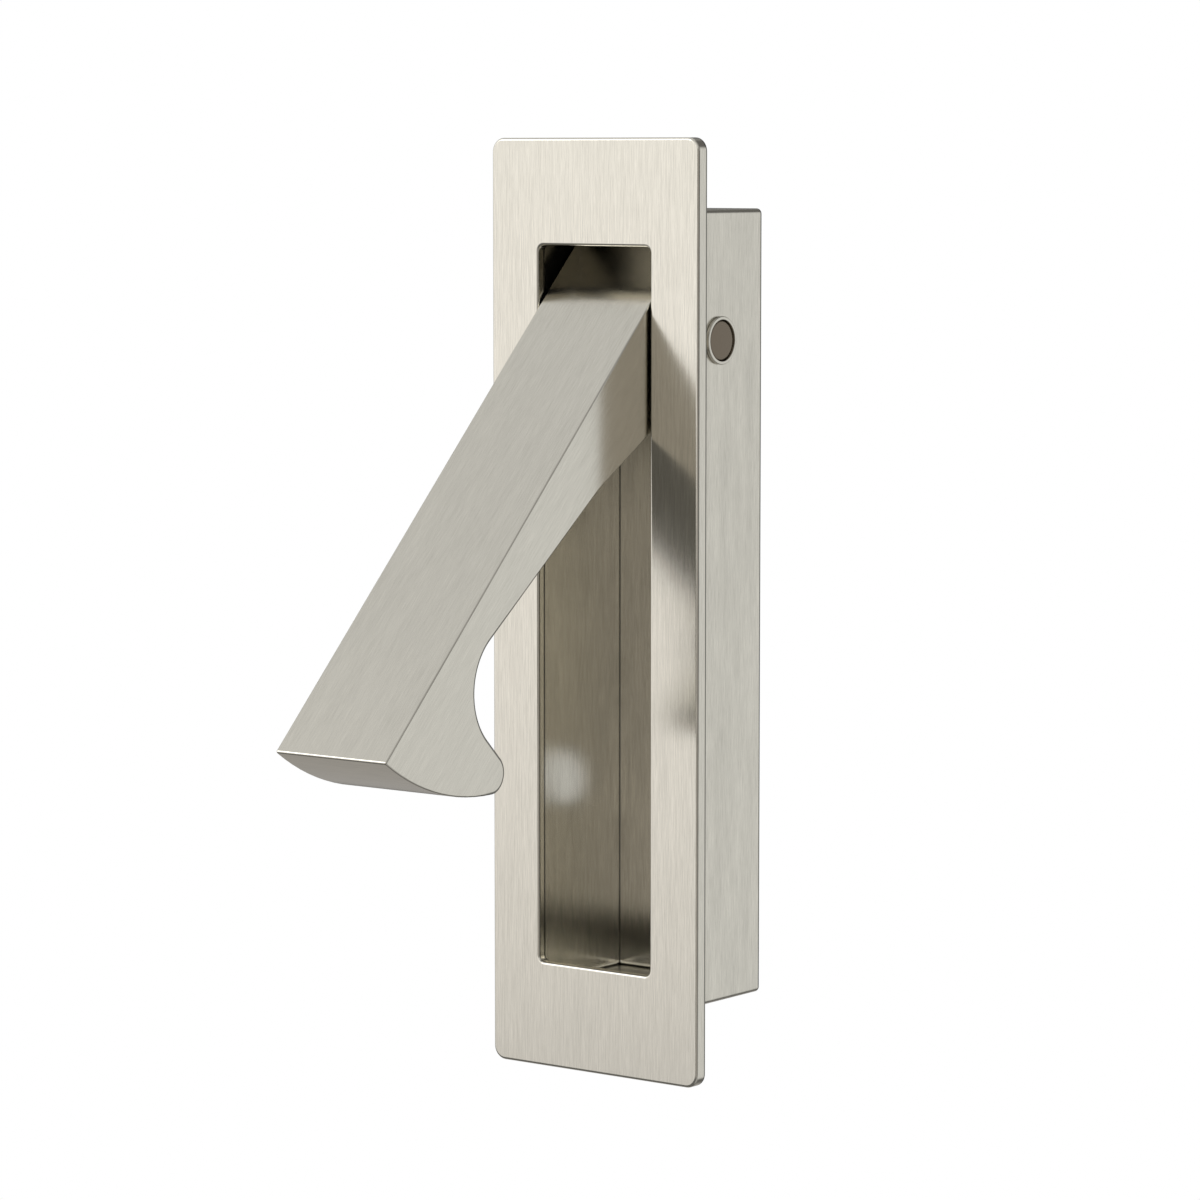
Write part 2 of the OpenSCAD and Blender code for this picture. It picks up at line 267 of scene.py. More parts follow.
def make_soft_foot():
    """The round where the box's walls run into the lower end of its inside: close above that end the normal leans up,
    and its upward part grows evenly downwards."""
    group, taken, given = new_group("soft foot", {"Vector": "Vector", "Normal": "Vector"}, {"Normal": "Vector"})
    place = put(group, "ShaderNodeSeparateXYZ", Vector=taken["Vector"])
    low = put(group, "ShaderNodeMapRange", _0=place.outputs[2], _1=FOOT_LOW, _2=FOOT_HIGH, _3=FOOT_LEAN, _4=0.0)
    aside = put(group, "ShaderNodeMath", {"operation": "ABSOLUTE"}, _0=place.outputs[0])
    narrow = put(group, "ShaderNodeMath", {"operation": "LESS_THAN"}, _0=aside.outputs[0], _1=INSIDE_SPACE[0])
    ahead = put(group, "ShaderNodeMath", {"operation": "LESS_THAN"}, _0=place.outputs[1], _1=INSIDE_SPACE[1])
    above = put(group, "ShaderNodeMath", {"operation": "GREATER_THAN"}, _0=place.outputs[2], _1=-INSIDE_SPACE[2])
    within = put(group, "ShaderNodeMath", {"operation": "MULTIPLY"}, _0=narrow.outputs[0], _1=ahead.outputs[0])
    inside = put(group, "ShaderNodeMath", {"operation": "MULTIPLY"}, _0=within.outputs[0], _1=above.outputs[0])
    rise = put(group, "ShaderNodeMath", {"operation": "MULTIPLY"}, _0=low.outputs[0], _1=inside.outputs[0])
    square = put(group, "ShaderNodeMath", {"operation": "MULTIPLY"}, _0=rise.outputs[0], _1=rise.outputs[0])
    left = put(group, "ShaderNodeMath", {"operation": "SUBTRACT"}, _0=1.0, _1=square.outputs[0])
    level = put(group, "ShaderNodeMath", {"operation": "SQRT"}, _0=left.outputs[0])
    flat = put(group, "ShaderNodeVectorMath", {"operation": "SCALE"}, _0=taken["Normal"], Scale=level.outputs[0])
    upward = put(group, "ShaderNodeCombineXYZ", Z=rise.outputs[0])
    leaning = put(group, "ShaderNodeVectorMath", {"operation": "ADD"}, _0=flat.outputs[0], _1=upward.outputs[0])
    whole = put(group, "ShaderNodeVectorMath", {"operation": "NORMALIZE"}, _0=leaning.outputs[0])
    group.links.new(whole.outputs[0], given["Normal"])
    return group


# The box's finish carries painted shade in its inner corners, on its inner ends and along its back edges
dress("housing", ground_metal("satin nickel box", SATIN_NICKEL, across=7000.0, along=380.0, broad=0.35, contrast=0.19,
                              polish=(0.2, 0.26), shade_mask=make_box_shade(), rounded=make_soft_foot()))


# Pivot pin
# A turned pin through both bushes. Its ends lie a little inside their mouths, and bear rings left by the turning
# tool.

PIN_AXIS = (7.9 * MM, 29.2 * MM)
PIN_RADIUS = 2.25 * MM
PIN_HALF = 10.28 * MM
PIN_BREAK = 0.32 * MM
PIN_DOME = 0.04 * MM
# Radius of the flat in the middle of each end
PIN_MIDDLE = 0.02 * MM
# Rings across each end, steps round each corner, and steps round the axis, for the bushes too
PIN_RINGS = 14
PIN_BENDS = 5
ROUND_STEPS = 96


def make_turned_rings():
    """Rings round the pin's axis: a noise of the distance from the axis alone, which the tool left as it fed in."""
    group, taken, given = new_group(
        "turned rings", {"Vector": "Vector", "Across": "Float"}, {"Rings": "Float"}
    )
    centred = put(group, "ShaderNodeVectorMath", {"operation": "SUBTRACT"}, _0=taken["Vector"],
                  _1=(0.0, PIN_AXIS[0], PIN_AXIS[1]))
    flat = put(group, "ShaderNodeVectorMath", {"operation": "MULTIPLY"}, _0=centred.outputs[0], _1=(0.0, 1.0, 1.0))
    away = put(group, "ShaderNodeVectorMath", {"operation": "LENGTH"}, _0=flat.outputs[0])
    scaled = put(group, "ShaderNodeMath", {"operation": "MULTIPLY"}, _0=away.outputs["Value"], _1=taken["Across"])
    rings = put(group, "ShaderNodeTexNoise", {"noise_dimensions": "1D"}, W=scaled.outputs[0], Scale=1.0, Detail=2.0)
    group.links.new(rings.outputs[0], given["Rings"])
    return group


turned_rings = make_turned_rings()


def turned_metal(name, colour, polish, across=9000.0, depth=2.0e-6, contrast=0.06):
    """Turned metal: rings round the axis in its colour, its roughness and its height."""
    material = bpy.data.materials.new(name)
    tree = tree_of(material)
    place = put(tree, "ShaderNodeTexCoord")
    rings = put(tree, "ShaderNodeGroup", {"node_tree": turned_rings}, Vector=place.outputs["Object"], Across=across)
    dark = tuple(c * (1 - contrast) for c in colour) + (1.0,)
    light = tuple(min(1.0, c * (1 + contrast)) for c in colour) + (1.0,)
    tone = put(tree, "ShaderNodeMix", {"data_type": "RGBA"}, _0=rings.outputs[0], _6=dark, _7=light)
    rough = put(tree, "ShaderNodeMapRange", {"clamp": True}, _0=rings.outputs[0], _1=0.3, _2=0.7, _3=polish[0],
                _4=polish[1])
    bump = put(tree, "ShaderNodeBump", Strength=1.0, Distance=depth, Height=rings.outputs[0])
    metal = put(tree, "ShaderNodeBsdfPrincipled", Base_Color=tone.outputs[2], Metallic=1.0,
                Roughness=rough.outputs[0], Normal=bump.outputs[0])
    out = put(tree, "ShaderNodeOutputMaterial")
    tree.links.new(metal.outputs[0], out.inputs["Surface"])
    return material


def surface(name, points, faces, corner_normals, material, uv=None, uv_name=None):
    """Makes the mesh from whole arrays: points, faces (a list of arrays of corners), and a normal at each corner."""
    corners = np.concatenate([f.ravel() for f in faces]).astype(np.int32)
    sizes = np.concatenate([np.full(len(f), f.shape[1]) for f in faces]).astype(np.int32)
    mesh = bpy.data.meshes.new(name)
    mesh.vertices.add(len(points))
    mesh.vertices.foreach_set("co", points.astype(np.float32).ravel())
    mesh.loops.add(len(corners))
    mesh.loops.foreach_set("vertex_index", corners)
    mesh.polygons.add(len(sizes))
    mesh.polygons.foreach_set("loop_start", (np.cumsum(sizes) - sizes).astype(np.int32))
    mesh.polygons.foreach_set("loop_total", sizes)
    if uv is not None:
        mesh.uv_layers.new(name=uv_name).data.foreach_set("uv", uv.astype(np.float32).ravel())
    mesh.update(calc_edges=True)
    mesh.shade_smooth()
    mesh.normals_split_custom_set(corner_normals.reshape(-1, 3).tolist())
    mesh.materials.append(material)
    made = bpy.data.objects.new(name, mesh)
    bpy.context.scene.collection.objects.link(made)
    return made


def make_pin(name, material):
    """The pin's outline, as [along the axis, away from it], carried round the axis: each end swells by its dome as a
    cosine of the distance from the axis, and its corner is a small arc."""
    away = np.linspace(PIN_MIDDLE, PIN_RADIUS - PIN_BREAK, PIN_RINGS)
    swell = PIN_DOME * np.cos(away / PIN_RADIUS * math.pi / 2)
    slope = -PIN_DOME * math.pi / 2 / PIN_RADIUS * np.sin(away / PIN_RADIUS * math.pi / 2)
    corner = np.radians(np.linspace(0, 90, PIN_BENDS))[1:]
    end = PIN_HALF - PIN_DOME
    x = np.concatenate([end + swell, end - PIN_BREAK * (1 - np.cos(corner))])
    r = np.concatenate([away, PIN_RADIUS - PIN_BREAK * (1 - np.sin(corner))])
    lean = np.concatenate([np.arctan(-slope), corner])
    rows = 2 * len(x)
    x, r = np.concatenate([x, -x[::-1]]), np.concatenate([r, r[::-1]])
    nx, nr = np.concatenate([np.cos(lean), -np.cos(lean)[::-1]]), np.concatenate([np.sin(lean), np.sin(lean)[::-1]])
    columns = ROUND_STEPS
    angle = np.arange(columns) * 2 * math.pi / columns
    ring = np.stack([np.zeros(columns), np.cos(angle), np.sin(angle)], 1)
    axis = np.array([1.0, 0.0, 0.0])
    points = (x[:, None, None] * axis + r[:, None, None] * ring).reshape(-1, 3)
    facing = (nx[:, None, None] * axis + nr[:, None, None] * ring).reshape(-1, 3)
    points = points + np.array([0.0, *PIN_AXIS])
    i, j = np.meshgrid(np.arange(rows - 1), np.arange(columns), indexing="ij")
    j2 = (j + 1) % columns
    wall = np.stack([i * columns + j, (i + 1) * columns + j, (i + 1) * columns + j2, i * columns + j2], -1)
    wall = wall.reshape(-1, 4)
    first = np.arange(columns)[None]
    last = ((rows - 1) * columns + np.arange(columns)[::-1])[None]
    normals = np.concatenate([facing[wall.ravel()], np.tile(axis, (columns, 1)), np.tile(-axis, (columns, 1))])
    return surface(name, points, [wall, first, last], normals, material)


pin_metal = turned_metal("turned pin", (0.19, 0.158, 0.121), (0.15, 0.2), contrast=0.15)
pin = make_pin("turned_pin", pin_metal)
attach(pin, "case")
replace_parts(pin, "pivot_pin")


# Bushes
# Two thin turned sleeves that line the housing's pin holes. Each was pushed out from inside until its flange met the
# wall, and its end, which stands a little proud, was spread to a bead.

BUSH_BORE = 2.25 * MM
BUSH_RADIUS = 2.5 * MM
BUSH_FLANGE = 4.0 * MM
BUSH_SEAT = 8.1 * MM
BUSH_WALL_INSIDE = 8.8 * MM
BUSH_FACE = 10.4 * MM
BUSH_LIP = 0.12 * MM
BUSH_BEAD = 2.62 * MM
BUSH_BEAD_BACK = 10.03 * MM
BUSH_MOUTH = 0.06 * MM
BUSH_BREAK = 0.05 * MM


def chain_of_arcs(centres, radii, turns, fineness):
    """A closed outline of arcs joined by straight lines. The outward normal turns through the given angles, and each
    point is its arc's centre plus the normal times the arc's radius, which is negative where the outline is hollow.
    Gives the points and their normals."""
    starts, ends = np.array(turns[:-1], float), np.array(turns[1:], float)
    counts = np.maximum(2, np.ceil(np.abs(ends - starts) / fineness).astype(int) + 1)
    which = np.repeat(np.arange(len(counts)), counts)
    first = np.repeat(np.cumsum(counts) - counts, counts)
    share = (np.arange(counts.sum()) - first) / (counts[which] - 1)
    angle = np.radians(starts[which] + share * (ends - starts)[which])
    normals = np.stack([np.cos(angle), np.sin(angle)], 1)
    points = np.array(centres, float)[which] + np.array(radii, float)[which, None] * normals
    apart = np.linalg.norm(points - np.roll(points, 1, 0), axis=1)
    kept = apart > 1e-7
    return points[kept], normals[kept]


def closed_grid(rows, columns):
    """Four corners for each cell of a grid that closes on itself both ways, as row times columns plus column."""
    i, j = np.meshgrid(np.arange(rows), np.arange(columns), indexing="ij")
    i2, j2 = (i + 1) % rows, (j + 1) % columns
    return np.stack([i * columns + j, i2 * columns + j, i2 * columns + j2, i * columns + j2], -1).reshape(-1, 4)


def make_bush(name, side, material):
    """A sleeve: its outline, as [along the axis, away from it], carried round the pin's axis. At angle a, a point of
    the outline lies at (along, away times cosine a, away times sine a) from the axis."""
    lip, mouth, worn = BUSH_LIP, BUSH_MOUTH, BUSH_BREAK
    centres = [
        [BUSH_FACE - lip, BUSH_BEAD - lip],
        [BUSH_BEAD_BACK + worn, BUSH_BEAD - worn],
        [BUSH_BEAD_BACK, BUSH_RADIUS],
        [BUSH_WALL_INSIDE, BUSH_RADIUS],
        [BUSH_WALL_INSIDE - worn, BUSH_FLANGE - worn],
        [BUSH_SEAT + worn, BUSH_FLANGE - worn],
        [BUSH_SEAT + worn, BUSH_BORE + worn],
        [BUSH_FACE - mouth, BUSH_BORE + mouth],
    ]
    radii = [lip, worn, 0.0, 0.0, worn, worn, worn, mouth]
    outline, normals = chain_of_arcs(centres, radii, [0, 90, 180, 90, 0, 90, 180, 270, 360], 15)
    rows, columns = len(outline), ROUND_STEPS
    angle = np.arange(columns) * 2 * math.pi / columns
    ring = np.stack([np.zeros(columns), np.cos(angle), np.sin(angle)], 1)
    along = np.array([side, 0.0, 0.0])
    points = outline[:, None, 0, None] * along + outline[:, None, 1, None] * ring
    facing = normals[:, None, 0, None] * along + normals[:, None, 1, None] * ring
    points = points.reshape(-1, 3) + np.array([0.0, *PIN_AXIS])
    faces = closed_grid(rows, columns)
    faces = faces if side > 0 else faces[:, ::-1]
    made = surface(name, points, [faces], facing.reshape(-1, 3)[faces.ravel()], material)
    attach(made, "case")
    return made


bush_metal = turned_metal("turned bush", SATIN_NICKEL, (0.16, 0.26), depth=0.8e-6, contrast=0.03)
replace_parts(make_bush("sleeve_right", 1.0, bush_metal), "bush_right")
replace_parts(make_bush("sleeve_left", -1.0, bush_metal), "bush_left")


# Disc springs
# Two shallow cones of blued spring steel between the bushes' flanges and the thrust washers. They press on the lever,
# so that it stays at the angle where it is put.

spring_metal = turned_metal("spring steel", (0.36, 0.35, 0.34), (0.28, 0.4))
dress("disc_spring_left", spring_metal)
dress("disc_spring_right", spring_metal)


# Thrust washers
# Two punched washers of dark nylon between the springs and the lever, which keep metal from rubbing on metal.


def moulded_nylon(name, colour):
    """Dull nylon: a fine, even mottle in its colour, its roughness and its height."""
    material = bpy.data.materials.new(name)
    tree = tree_of(material)
    place = put(tree, "ShaderNodeTexCoord")
    mottle = put(tree, "ShaderNodeTexNoise", Vector=place.outputs["Object"], Scale=6000.0, Detail=3.0)
    dark = tuple(c * 0.85 for c in colour) + (1.0,)
    light = tuple(c * 1.15 for c in colour) + (1.0,)
    tone = put(tree, "ShaderNodeMix", {"data_type": "RGBA"}, _0=mottle.outputs[0], _6=dark, _7=light)
    rough = put(tree, "ShaderNodeMapRange", _0=mottle.outputs[0], _1=0.3, _2=0.7, _3=0.45, _4=0.6)
    bump = put(tree, "ShaderNodeBump", Strength=1.0, Distance=4e-6, Height=mottle.outputs[0])
    nylon = put(tree, "ShaderNodeBsdfPrincipled", Base_Color=tone.outputs[2], Roughness=rough.outputs[0],
                Normal=bump.outputs[0])
    out = put(tree, "ShaderNodeOutputMaterial")
    tree.links.new(nylon.outputs[0], out.inputs["Surface"])
    return material


nylon = moulded_nylon("dark nylon", (0.045, 0.042, 0.04))
dress("thrust_washer_left", nylon)
dress("thrust_washer_right", nylon)


# Lever
# One solid bar, milled to its outline: head, boss round the pin, tapering arm, finger hollow, nose and curved foot.
# It was ground along its length, its edges were broken by hand, and it was nickel plated with the rest.

LEVER_WIDTH = 14.7 * MM
LEVER_FRONT = -9.4 * MM
LEVER_BREAK = 0.2 * MM
LEVER_CORNER = 0.23 * MM
# Width and depth of the edge round the hollow and the nose
HOLLOW_EDGE = (0.38 * MM, 0.1 * MM)
# Heights on the closed lever at which that edge starts and is whole, below and above, and how far forward it reaches
EDGE_BELOW = (-60 * MM, -58 * MM)
EDGE_ABOVE = (-37 * MM, -40 * MM)
EDGE_FRONT = -6 * MM
# Which of an edge's rows carry the painted dark reflection, from the side to the outline
DARK_ROWS = (0.0, 0.0, 1.0, 1.0, 1.0, 1.0, 1.0, 0.0)
BORE_STEPS = 64
# Shifts of the belt's lines on the right and the left side
SIDE_SHIFTS = (0.1, 0.2)
LEVER_OPEN = math.radians(44.5)
LEVER_BORE = 2.3 * MM
HEAD_RADIUS = 12.503 * MM
BACK_FLAT = 6.85 * MM
BOSS_RADIUS = 3.65 * MM
KNEE = (-2.1 * MM, -23.3 * MM)
KNEE_RADIUS = 8.0 * MM
HOLLOW = (1.75 * MM, -47.4 * MM)
HOLLOW_RADIUS = 6.9 * MM
NOSE = (4.75 * MM, -56.4 * MM)
NOSE_RADIUS = 2.1 * MM
FOOT_RADIUS = 27.9 * MM
FOOT_END = -66.2 * MM


def way_to(start, end):
    """The direction from start to end in degrees, anticlockwise from the first axis."""
    return math.degrees(math.atan2(end[1] - start[1], end[0] - start[0]))


def tangent_normal(start, start_radius, end, end_radius):
    """The outward normal's angle on the line that leaves one circle and meets the next, travelled with the metal on
    the left. Its cosine to the way between the centres is the difference of the radii over their distance."""
    apart = math.hypot(end[0] - start[0], end[1] - start[1])
    return way_to(start, end) - math.degrees(math.acos((start_radius - end_radius) / apart))


def lever_outline(fineness=3.0):
    """The closed lever seen from its left side, as [into the door, up] from the pin's axis: ten arcs joined by
    straight lines, with the broken corners as the smallest arcs."""
    b = LEVER_CORNER
    apart = math.hypot(NOSE[0] - LEVER_FRONT, NOSE[1] - FOOT_END)
    along = (apart**2 + FOOT_RADIUS**2 - (FOOT_RADIUS - NOSE_RADIUS) ** 2) / (2 * apart)
    aside = math.sqrt(FOOT_RADIUS**2 - along**2)
    way = ((NOSE[0] - LEVER_FRONT) / apart, (NOSE[1] - FOOT_END) / apart)
    foot = (LEVER_FRONT + along * way[0] - aside * way[1], FOOT_END + along * way[1] + aside * way[0])
    low_corner = (LEVER_FRONT + b, foot[1] - math.sqrt((FOOT_RADIUS - b) ** 2 - (LEVER_FRONT + b - foot[0]) ** 2))
    back_corner = (BOSS_RADIUS - b, math.sqrt(2) * (BACK_FLAT - b) - (BOSS_RADIUS - b))
    rise = math.sqrt((HEAD_RADIUS - b) ** 2 - (BACK_FLAT - b) ** 2)
    high_corner = ((BACK_FLAT - b - rise) / math.sqrt(2), (BACK_FLAT - b + rise) / math.sqrt(2))
    top_corner = (LEVER_FRONT + b, math.sqrt((HEAD_RADIUS - b) ** 2 - (LEVER_FRONT + b) ** 2))
    low_line = tangent_normal(HOLLOW, -HOLLOW_RADIUS, KNEE, 0.0)
    high_line = tangent_normal(KNEE, 0.0, (0.0, 0.0), BOSS_RADIUS)
    middle = math.radians((low_line + high_line) / 2)
    reach = KNEE_RADIUS / math.cos(math.radians((low_line - high_line) / 2))
    knee = (KNEE[0] + reach * math.cos(middle), KNEE[1] + reach * math.sin(middle))
    centres = [low_corner, foot, NOSE, HOLLOW, knee, (0.0, 0.0), back_corner, high_corner, (0.0, 0.0), top_corner]
    radii = [b, FOOT_RADIUS, NOSE_RADIUS, -HOLLOW_RADIUS, -KNEE_RADIUS, BOSS_RADIUS, b, b, HEAD_RADIUS, b]
    turns = [180, way_to(foot, low_corner) + 360, way_to(foot, NOSE) + 360, 450, low_line + 360, high_line + 360,
             360, 405, way_to((0.0, 0.0), high_corner) + 360, way_to((0.0, 0.0), top_corner) + 360, 540]
    return chain_of_arcs(centres, radii, turns, fineness)


def swung(planar, x):
    """Puts [into the door, up] from the pin's axis into the frame, with the lever swung open about the pin."""
    y = planar[..., 0] * math.cos(LEVER_OPEN) + planar[..., 1] * math.sin(LEVER_OPEN)
    z = -planar[..., 0] * math.sin(LEVER_OPEN) + planar[..., 1] * math.cos(LEVER_OPEN)
    return np.stack([np.broadcast_to(x, y.shape), y, z], -1)


def make_lever(name, material):
    """The outline carried across the lever's width. At each side the edge is a quarter of an ellipse: at angle a, a
    point lies in from the outline by its width times one minus sine a, and in from the side by its depth times one
    minus cosine a. Round the hollow and the nose the edge is wide and shallow, as a belt leaves it that bends over
    it. The two sides are filled between the outline and the pin's bore."""
    outline, out = lever_outline()
    count = len(outline)
    low = np.clip((outline[:, 1] - EDGE_BELOW[0]) / (EDGE_BELOW[1] - EDGE_BELOW[0]), 0, 1)
    high = np.clip((outline[:, 1] - EDGE_ABOVE[0]) / (EDGE_ABOVE[1] - EDGE_ABOVE[0]), 0, 1)
    soft = low * high * (outline[:, 0] > EDGE_FRONT)
    soft = soft * soft * (3 - 2 * soft)
    width = LEVER_BREAK + (HOLLOW_EDGE[0] - LEVER_BREAK) * soft
    depth = LEVER_BREAK + (HOLLOW_EDGE[1] - LEVER_BREAK) * soft
    bend = np.radians(np.linspace(0, 90, len(DARK_ROWS)))
    lean = np.concatenate([bend, bend[::-1]])[:, None]
    side = np.repeat([-1.0, 1.0], len(bend))[:, None]
    inset = width * (1 - np.sin(lean))
    x = side * (LEVER_WIDTH / 2 - depth * (1 - np.cos(lean)))
    rows = len(x)
    rim = outline[None] - inset[..., None] * out[None]
    points = swung(rim, x)
    outward, aside = depth * np.sin(lean), width * np.cos(lean)
    whole = np.hypot(outward, aside)
    facing = swung(out[None] * (outward / whole)[..., None], side * aside / whole)
    i, j = np.meshgrid(np.arange(rows - 1), np.arange(count), indexing="ij")
    j2 = (j + 1) % count
    wall = np.stack([i * count + j, i * count + j2, (i + 1) * count + j2, (i + 1) * count + j], -1).reshape(-1, 4)

    step = np.arange(BORE_STEPS) * 2 * math.pi / BORE_STEPS
    circle = np.stack([np.cos(step), np.sin(step)], 1)
    bore = swung(np.stack([circle * LEVER_BORE] * 2), np.array([[-LEVER_WIDTH / 2], [LEVER_WIDTH / 2]]))
    base = rows * count
    k = np.arange(BORE_STEPS)
    k2 = (k + 1) % BORE_STEPS
    tube = base + np.stack([k, BORE_STEPS + k, BORE_STEPS + k2, k2], -1)
    tube_out = swung(-circle, np.zeros(BORE_STEPS))

    flat_rim = rim[0]
    loops = [[(a, b, 0.0) for a, b in flat_rim], [(a, b, 0.0) for a, b in circle[::-1] * LEVER_BORE]]
    fill = np.array(tessellate_polygon(loops))
    plan = np.concatenate([flat_rim, circle[::-1] * LEVER_BORE])
    one, two, three = plan[fill[:, 0]], plan[fill[:, 1]], plan[fill[:, 2]]
    area = (two - one)[:, 0] * (three - one)[:, 1] - (two - one)[:, 1] * (three - one)[:, 0]
    fill[area < 0] = fill[area < 0][:, ::-1]
    index_left = np.concatenate([np.arange(count), base + k[::-1]])
    index_right = np.concatenate([(rows - 1) * count + np.arange(count), base + BORE_STEPS + k[::-1]])
    right, left = index_right[fill], index_left[fill][:, ::-1]

    all_points = np.concatenate([points.reshape(-1, 3), bore.reshape(-1, 3)]) + np.array([0.0, *PIN_AXIS])
    wall_normals = facing.reshape(-1, 3)[wall.ravel()]
    tube_normals = np.concatenate([tube_out, tube_out])[(tube - base).ravel()]
    flat = np.array([1.0, 0.0, 0.0])
    normals = np.concatenate([wall_normals, tube_normals, np.tile(flat, (right.size, 1)),
                              np.tile(-flat, (left.size, 1))])

    length = np.concatenate([[0.0], np.cumsum(np.linalg.norm(np.diff(outline, axis=0), axis=1))])
    total = length[-1] + np.linalg.norm(outline[0] - outline[-1])
    over = np.concatenate([[0.0], np.cumsum(np.hypot(np.diff(x[:, 0]), np.diff(inset[:, 0])))])
    ends = np.append(length, total)
    crossing = np.abs(out[:, 1]) > LOOKS_UPRIGHT
    wall_i, wall_j = i.ravel(), j.ravel()
    u = np.stack([over[wall_i], over[wall_i], over[wall_i + 1], over[wall_i + 1]], 1)
    v = np.stack([ends[wall_j], ends[wall_j + 1], ends[wall_j + 1], ends[wall_j]], 1)
    turned = (crossing[wall_j] & crossing[(wall_j + 1) % count])[:, None]
    wall_uv = np.stack([np.where(turned, v, u), np.where(turned, u, v)], -1).reshape(-1, 2)
    tube_uv = np.stack([np.zeros(tube.size), np.zeros(tube.size)], 1)
    right_uv = plan[fill].reshape(-1, 2) + SIDE_SHIFTS[0]
    left_uv = plan[fill][:, ::-1].reshape(-1, 2) + SIDE_SHIFTS[1]
    uv = np.concatenate([wall_uv, tube_uv, right_uv, left_uv])
    made = surface(name, all_points, [wall, tube, right, left], normals, material, uv, "belt")

    # The painted dark reflection on the edges round the hollow and the nose, marked on the mesh
    shaded = np.array(DARK_ROWS + DARK_ROWS[::-1])[:, None] * soft
    painted_dark_edge = np.concatenate([shaded.ravel(), np.zeros(2 * BORE_STEPS)])
    made.data.attributes.new("painted_dark_edge", "FLOAT", "POINT").data.foreach_set("value", painted_dark_edge.astype(np.float32))
    return made


def make_edge_reflection():
    """Painted dark reflection on the lever's edges round the hollow and the nose, as the mesh has them marked."""
    group, taken, given = new_group("painted dark edges", {"Vector": "Vector", "Normal": "Vector"}, {"Mask": "Float"})
    marked = put(group, "ShaderNodeAttribute", {"attribute_name": "painted_dark_edge"})
    group.links.new(marked.outputs["Fac"], given["Mask"])
    return group


lever_metal = ground_metal("satin nickel lever", SATIN_NICKEL, across=8000.0, along=330.0, broad=0.25, contrast=0.12,
                           uv="belt", shade_mask=make_edge_reflection())
lever = make_lever("pull_lever", lever_metal)
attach(lever, "lever")
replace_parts(lever, "lever")


# Studio
# The part hangs in front of a white backdrop, over a pale floor. A large soft light stands on the left in front, the
# camera's side is dim, and pale walls and a ceiling close the room, all of which the metal mirrors.

FLOOR_LEVEL = -600 * MM


def make_floor():
    """A plain square floor far below the part. The camera sees it nearly white, less the shadow that falls on it."""
    half = 1.3
    corners = np.array([[-half, -half, FLOOR_LEVEL], [half, -half, FLOOR_LEVEL], [half, half, FLOOR_LEVEL],
                        [-half, half, FLOOR_LEVEL]])
    material = bpy.data.materials.new("pale floor")
    tree = tree_of(material)
    path = put(tree, "ShaderNodeLightPath")
    place = put(tree, "ShaderNodeTexCoord")
    mottle = put(tree, "ShaderNodeTexNoise", Vector=place.outputs["Object"], Scale=3.0, Detail=2.0)
    tone = put(tree, "ShaderNodeMix", {"data_type": "RGBA"}, _0=mottle.outputs[0], _6=(0.6, 0.6, 0.6, 1.0),
               _7=(0.66, 0.66, 0.66, 1.0))
    paint = put(tree, "ShaderNodeBsdfDiffuse", Color=tone.outputs[2])
    white = put(tree, "ShaderNodeEmission", Color=(1.0, 1.0, 1.0, 1.0), Strength=0.8)
    lit = put(tree, "ShaderNodeAddShader", _0=paint.outputs[0], _1=white.outputs[0])
    seen = put(tree, "ShaderNodeMixShader", _0=path.outputs["Is Camera Ray"], _1=paint.outputs[0],
               _2=lit.outputs[0])
    out = put(tree, "ShaderNodeOutputMaterial")
    tree.links.new(seen.outputs[0], out.inputs["Surface"])
    mesh = bpy.data.meshes.new("floor")
    mesh.from_pydata(corners.tolist(), [], [[0, 1, 2, 3]])
    mesh.materials.append(material)
    made = bpy.data.objects.new("floor", mesh)
    bpy.context.scene.collection.objects.link(made)
    made.visible_glossy = False
    return made


make_floor()


def toward(tree, direction, whom, start, end):
    """How far a direction lies within a soft edged patch of the room: 0 where its cosine to the patch's middle is
    below start, 1 above end, smooth between."""
    length = math.sqrt(sum(c * c for c in whom))
    dot = put(tree, "ShaderNodeVectorMath", {"operation": "DOT_PRODUCT"}, _0=direction,
              _1=tuple(c / length for c in whom))
    return put(tree, "ShaderNodeMapRange", {"interpolation_type": "SMOOTHSTEP"}, _0=dot.outputs["Value"], _1=start,
               _2=end).outputs[0]


def lay_over(tree, under, over, share):
    """Lays one colour over another by a share."""
    return put(tree, "ShaderNodeMix", {"data_type": "RGBA"}, _0=share, _6=under, _7=over).outputs[2]


